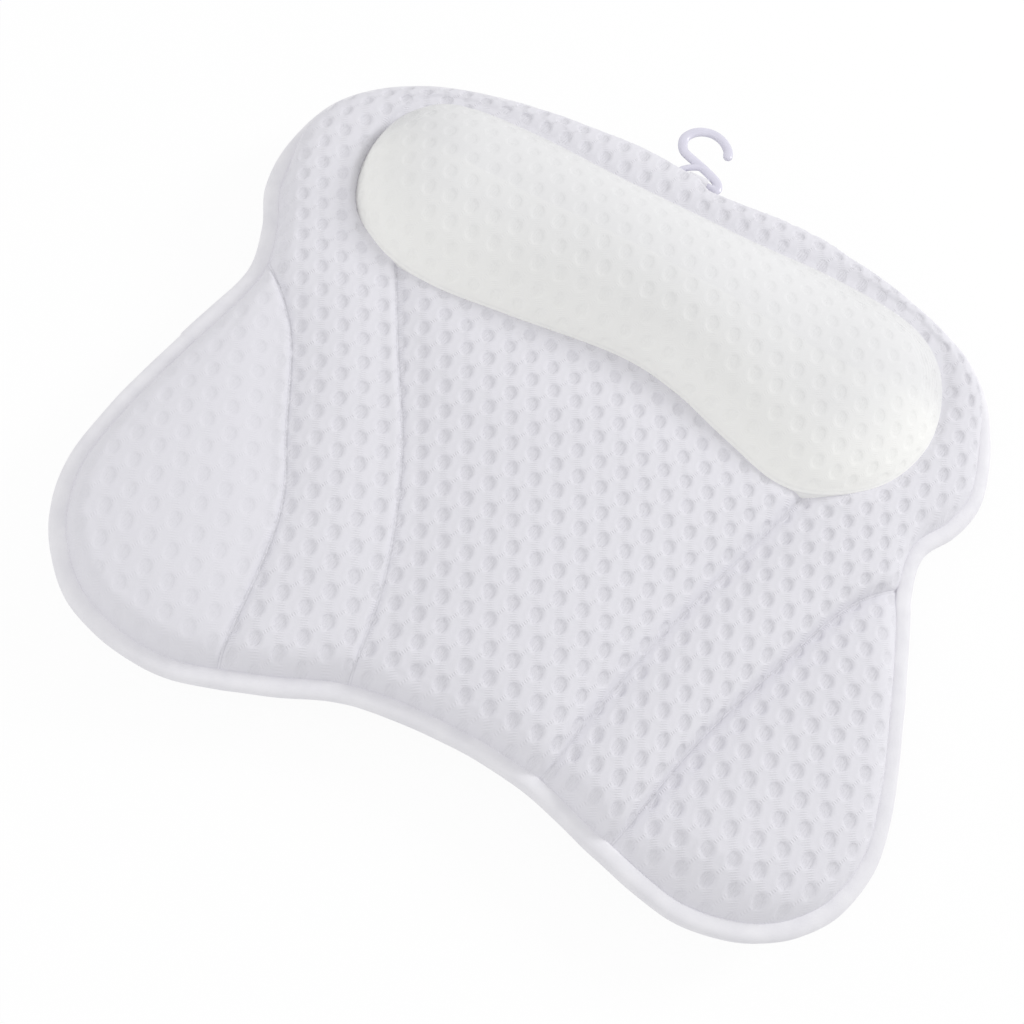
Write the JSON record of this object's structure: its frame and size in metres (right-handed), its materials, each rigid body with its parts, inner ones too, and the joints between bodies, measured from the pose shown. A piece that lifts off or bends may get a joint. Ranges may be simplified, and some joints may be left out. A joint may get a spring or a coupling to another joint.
{
  "type": "bath pillow",
  "caption": "Butterfly-shaped quilted bath pillow with a raised headrest, taped edge, hanging hook and suction cups on its back.",
  "frame": {"origin": "in the plane of the suction cups' rims, under the middle of the pillow's outer box with its hook lying flat", "axes": "+X across the pillow, +Y towards the head end and the hook, +Z out of the quilted front"},
  "size_m": [0.4278, 0.4148, 0.078],
  "materials": {
    "air_mesh": "matte",
    "back_mesh": "matte",
    "headrest_mesh": "matte",
    "fibre_fill": "matte",
    "binding_tape": "satin",
    "hook_plastic": "gloss",
    "cup_vinyl": "gloss",
    "washer_plastic": "satin"
  },
  "bodies": {
    "pillow": {"front_cover": "air_mesh", "back_cover": "back_mesh", "headrest_cover": "headrest_mesh", "headrest_pad": "fibre_fill", "centre_pad": "fibre_fill", "arch_pad": "fibre_fill", "wing_pad_right": "fibre_fill", "wing_pad_left": "fibre_fill", "edge_binding": "binding_tape", "hook_loop": "binding_tape", "cup_washer_1": "washer_plastic", "cup_washer_2": "washer_plastic", "cup_washer_3": "washer_plastic", "cup_washer_4": "washer_plastic", "cup_washer_5": "washer_plastic", "cup_washer_6": "washer_plastic"},
    "hook": {"hook": "hook_plastic"},
    "cup_1": {"suction_cup_1": "cup_vinyl"},
    "cup_2": {"suction_cup_2": "cup_vinyl"},
    "cup_3": {"suction_cup_3": "cup_vinyl"},
    "cup_4": {"suction_cup_4": "cup_vinyl"},
    "cup_5": {"suction_cup_5": "cup_vinyl"},
    "cup_6": {"suction_cup_6": "cup_vinyl"}
  },
  "joints": [
    {"name": "hook_swing", "type": "hinge", "parent": "pillow", "child": "hook", "pos_m": [0.00123, 0.16894, 0.0281], "axis": [1, 0, 0], "range_deg": [-40, 110]},
    {"name": "cup_turn_1", "type": "hinge", "parent": "pillow", "child": "cup_1", "pos_m": [-0.12847, 0.09324, 0], "axis": [0, 0, 1], "continuous": true},
    {"name": "cup_turn_2", "type": "hinge", "parent": "pillow", "child": "cup_2", "pos_m": [0.12993, 0.09324, 0], "axis": [0, 0, 1], "continuous": true},
    {"name": "cup_turn_3", "type": "hinge", "parent": "pillow", "child": "cup_3", "pos_m": [-0.05517, -0.01202, 0], "axis": [0, 0, 1], "continuous": true},
    {"name": "cup_turn_4", "type": "hinge", "parent": "pillow", "child": "cup_4", "pos_m": [0.05663, -0.01202, 0], "axis": [0, 0, 1], "continuous": true},
    {"name": "cup_turn_5", "type": "hinge", "parent": "pillow", "child": "cup_5", "pos_m": [-0.15407, -0.11918, 0], "axis": [0, 0, 1], "continuous": true},
    {"name": "cup_turn_6", "type": "hinge", "parent": "pillow", "child": "cup_6", "pos_m": [0.15553, -0.11918, 0], "axis": [0, 0, 1], "continuous": true}
  ]
}
